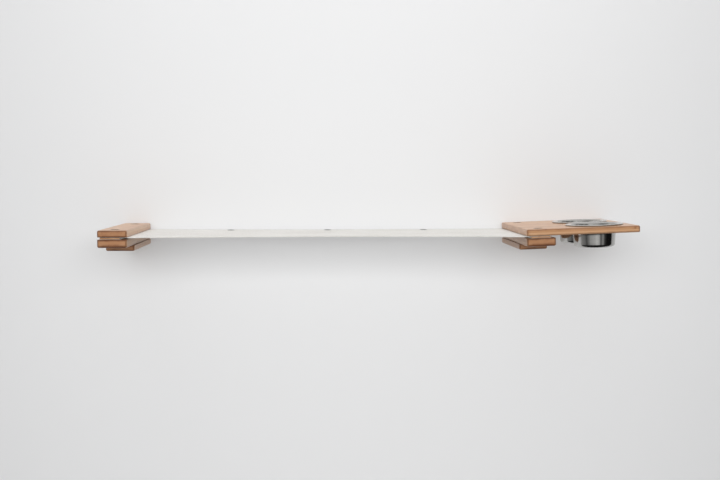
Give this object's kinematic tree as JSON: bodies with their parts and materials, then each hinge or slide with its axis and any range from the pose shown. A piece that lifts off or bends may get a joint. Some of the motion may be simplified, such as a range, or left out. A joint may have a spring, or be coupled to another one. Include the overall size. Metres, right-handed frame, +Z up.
{
  "type": "wall-mounted cat feeder",
  "caption": "Wall-mounted cat feeder: canvas shelf clamped between bamboo brackets on hidden rods, with a board at one end that holds lift-out steel bowls.",
  "frame": {"origin": "centre of the back face of the left wall support's steel plate, on the wall", "axes": "+X to the right along the wall, +Y into the wall, +Z up; the shelf reaches out towards -Y"},
  "size_m": [1.0315, 0.2794, 0.0548],
  "materials": {
    "bamboo": "clear satin lacquer over laminated bamboo, darker on the end grain",
    "batten_wood": "plain sawn wood",
    "canvas": "heavy natural white cotton canvas",
    "bowl_steel": "polished stainless steel",
    "bolt_steel": "bright zinc plate",
    "screw_steel": "bright zinc plate",
    "wall_steel": "black powder coat",
    "eyelet_metal": "nickel plate, lightly worn"
  },
  "bodies": {
    "root": {"left_clamp_plate": "bamboo", "left_support_plate": "bamboo", "left_base_plate": "bamboo", "left_hem_batten": "batten_wood", "left_wall_support": "wall_steel", "left_front_bolt": "bolt_steel", "left_front_head_washer": "bolt_steel", "left_front_nut_washer": "bolt_steel", "left_front_nut": "bolt_steel", "left_rear_bolt": "bolt_steel", "left_rear_head_washer": "bolt_steel", "left_rear_nut_washer": "bolt_steel", "left_rear_nut": "bolt_steel", "left_base_screw_1": "screw_steel", "left_base_screw_2": "screw_steel", "left_base_screw_3": "screw_steel", "left_base_screw_4": "screw_steel", "left_locking_screw_1": "wall_steel", "left_locking_screw_2": "wall_steel", "feeder_board": "bamboo", "right_support_plate": "bamboo", "right_base_plate": "bamboo", "right_hem_batten": "batten_wood", "right_wall_support": "wall_steel", "right_front_bolt": "bolt_steel", "right_front_head_washer": "bolt_steel", "right_front_nut_washer": "bolt_steel", "right_front_nut": "bolt_steel", "right_rear_bolt": "bolt_steel", "right_rear_head_washer": "bolt_steel", "right_rear_nut_washer": "bolt_steel", "right_rear_nut": "bolt_steel", "right_base_screw_1": "screw_steel", "right_base_screw_2": "screw_steel", "right_base_screw_3": "screw_steel", "right_base_screw_4": "screw_steel", "right_locking_screw_1": "wall_steel", "right_locking_screw_2": "wall_steel", "canvas_shelf": "canvas", "canvas_eyelet_1": "eyelet_metal", "canvas_eyelet_2": "eyelet_metal", "canvas_eyelet_3": "eyelet_metal", "canvas_eyelet_ring_1": "eyelet_metal", "canvas_eyelet_ring_2": "eyelet_metal", "canvas_eyelet_ring_3": "eyelet_metal"},
    "front_bowl": {"front_bowl": "bowl_steel"},
    "rear_bowl": {"rear_bowl": "bowl_steel"}
  },
  "joints": [
    {"name": "front_bowl_lift", "type": "slide", "parent": "root", "child": "front_bowl", "axis": [-0.0358, 0, 0.9994], "range_m": [0, 0.08]},
    {"name": "rear_bowl_lift", "type": "slide", "parent": "root", "child": "rear_bowl", "axis": [-0.0358, 0, 0.9994], "range_m": [0, 0.08]}
  ]
}
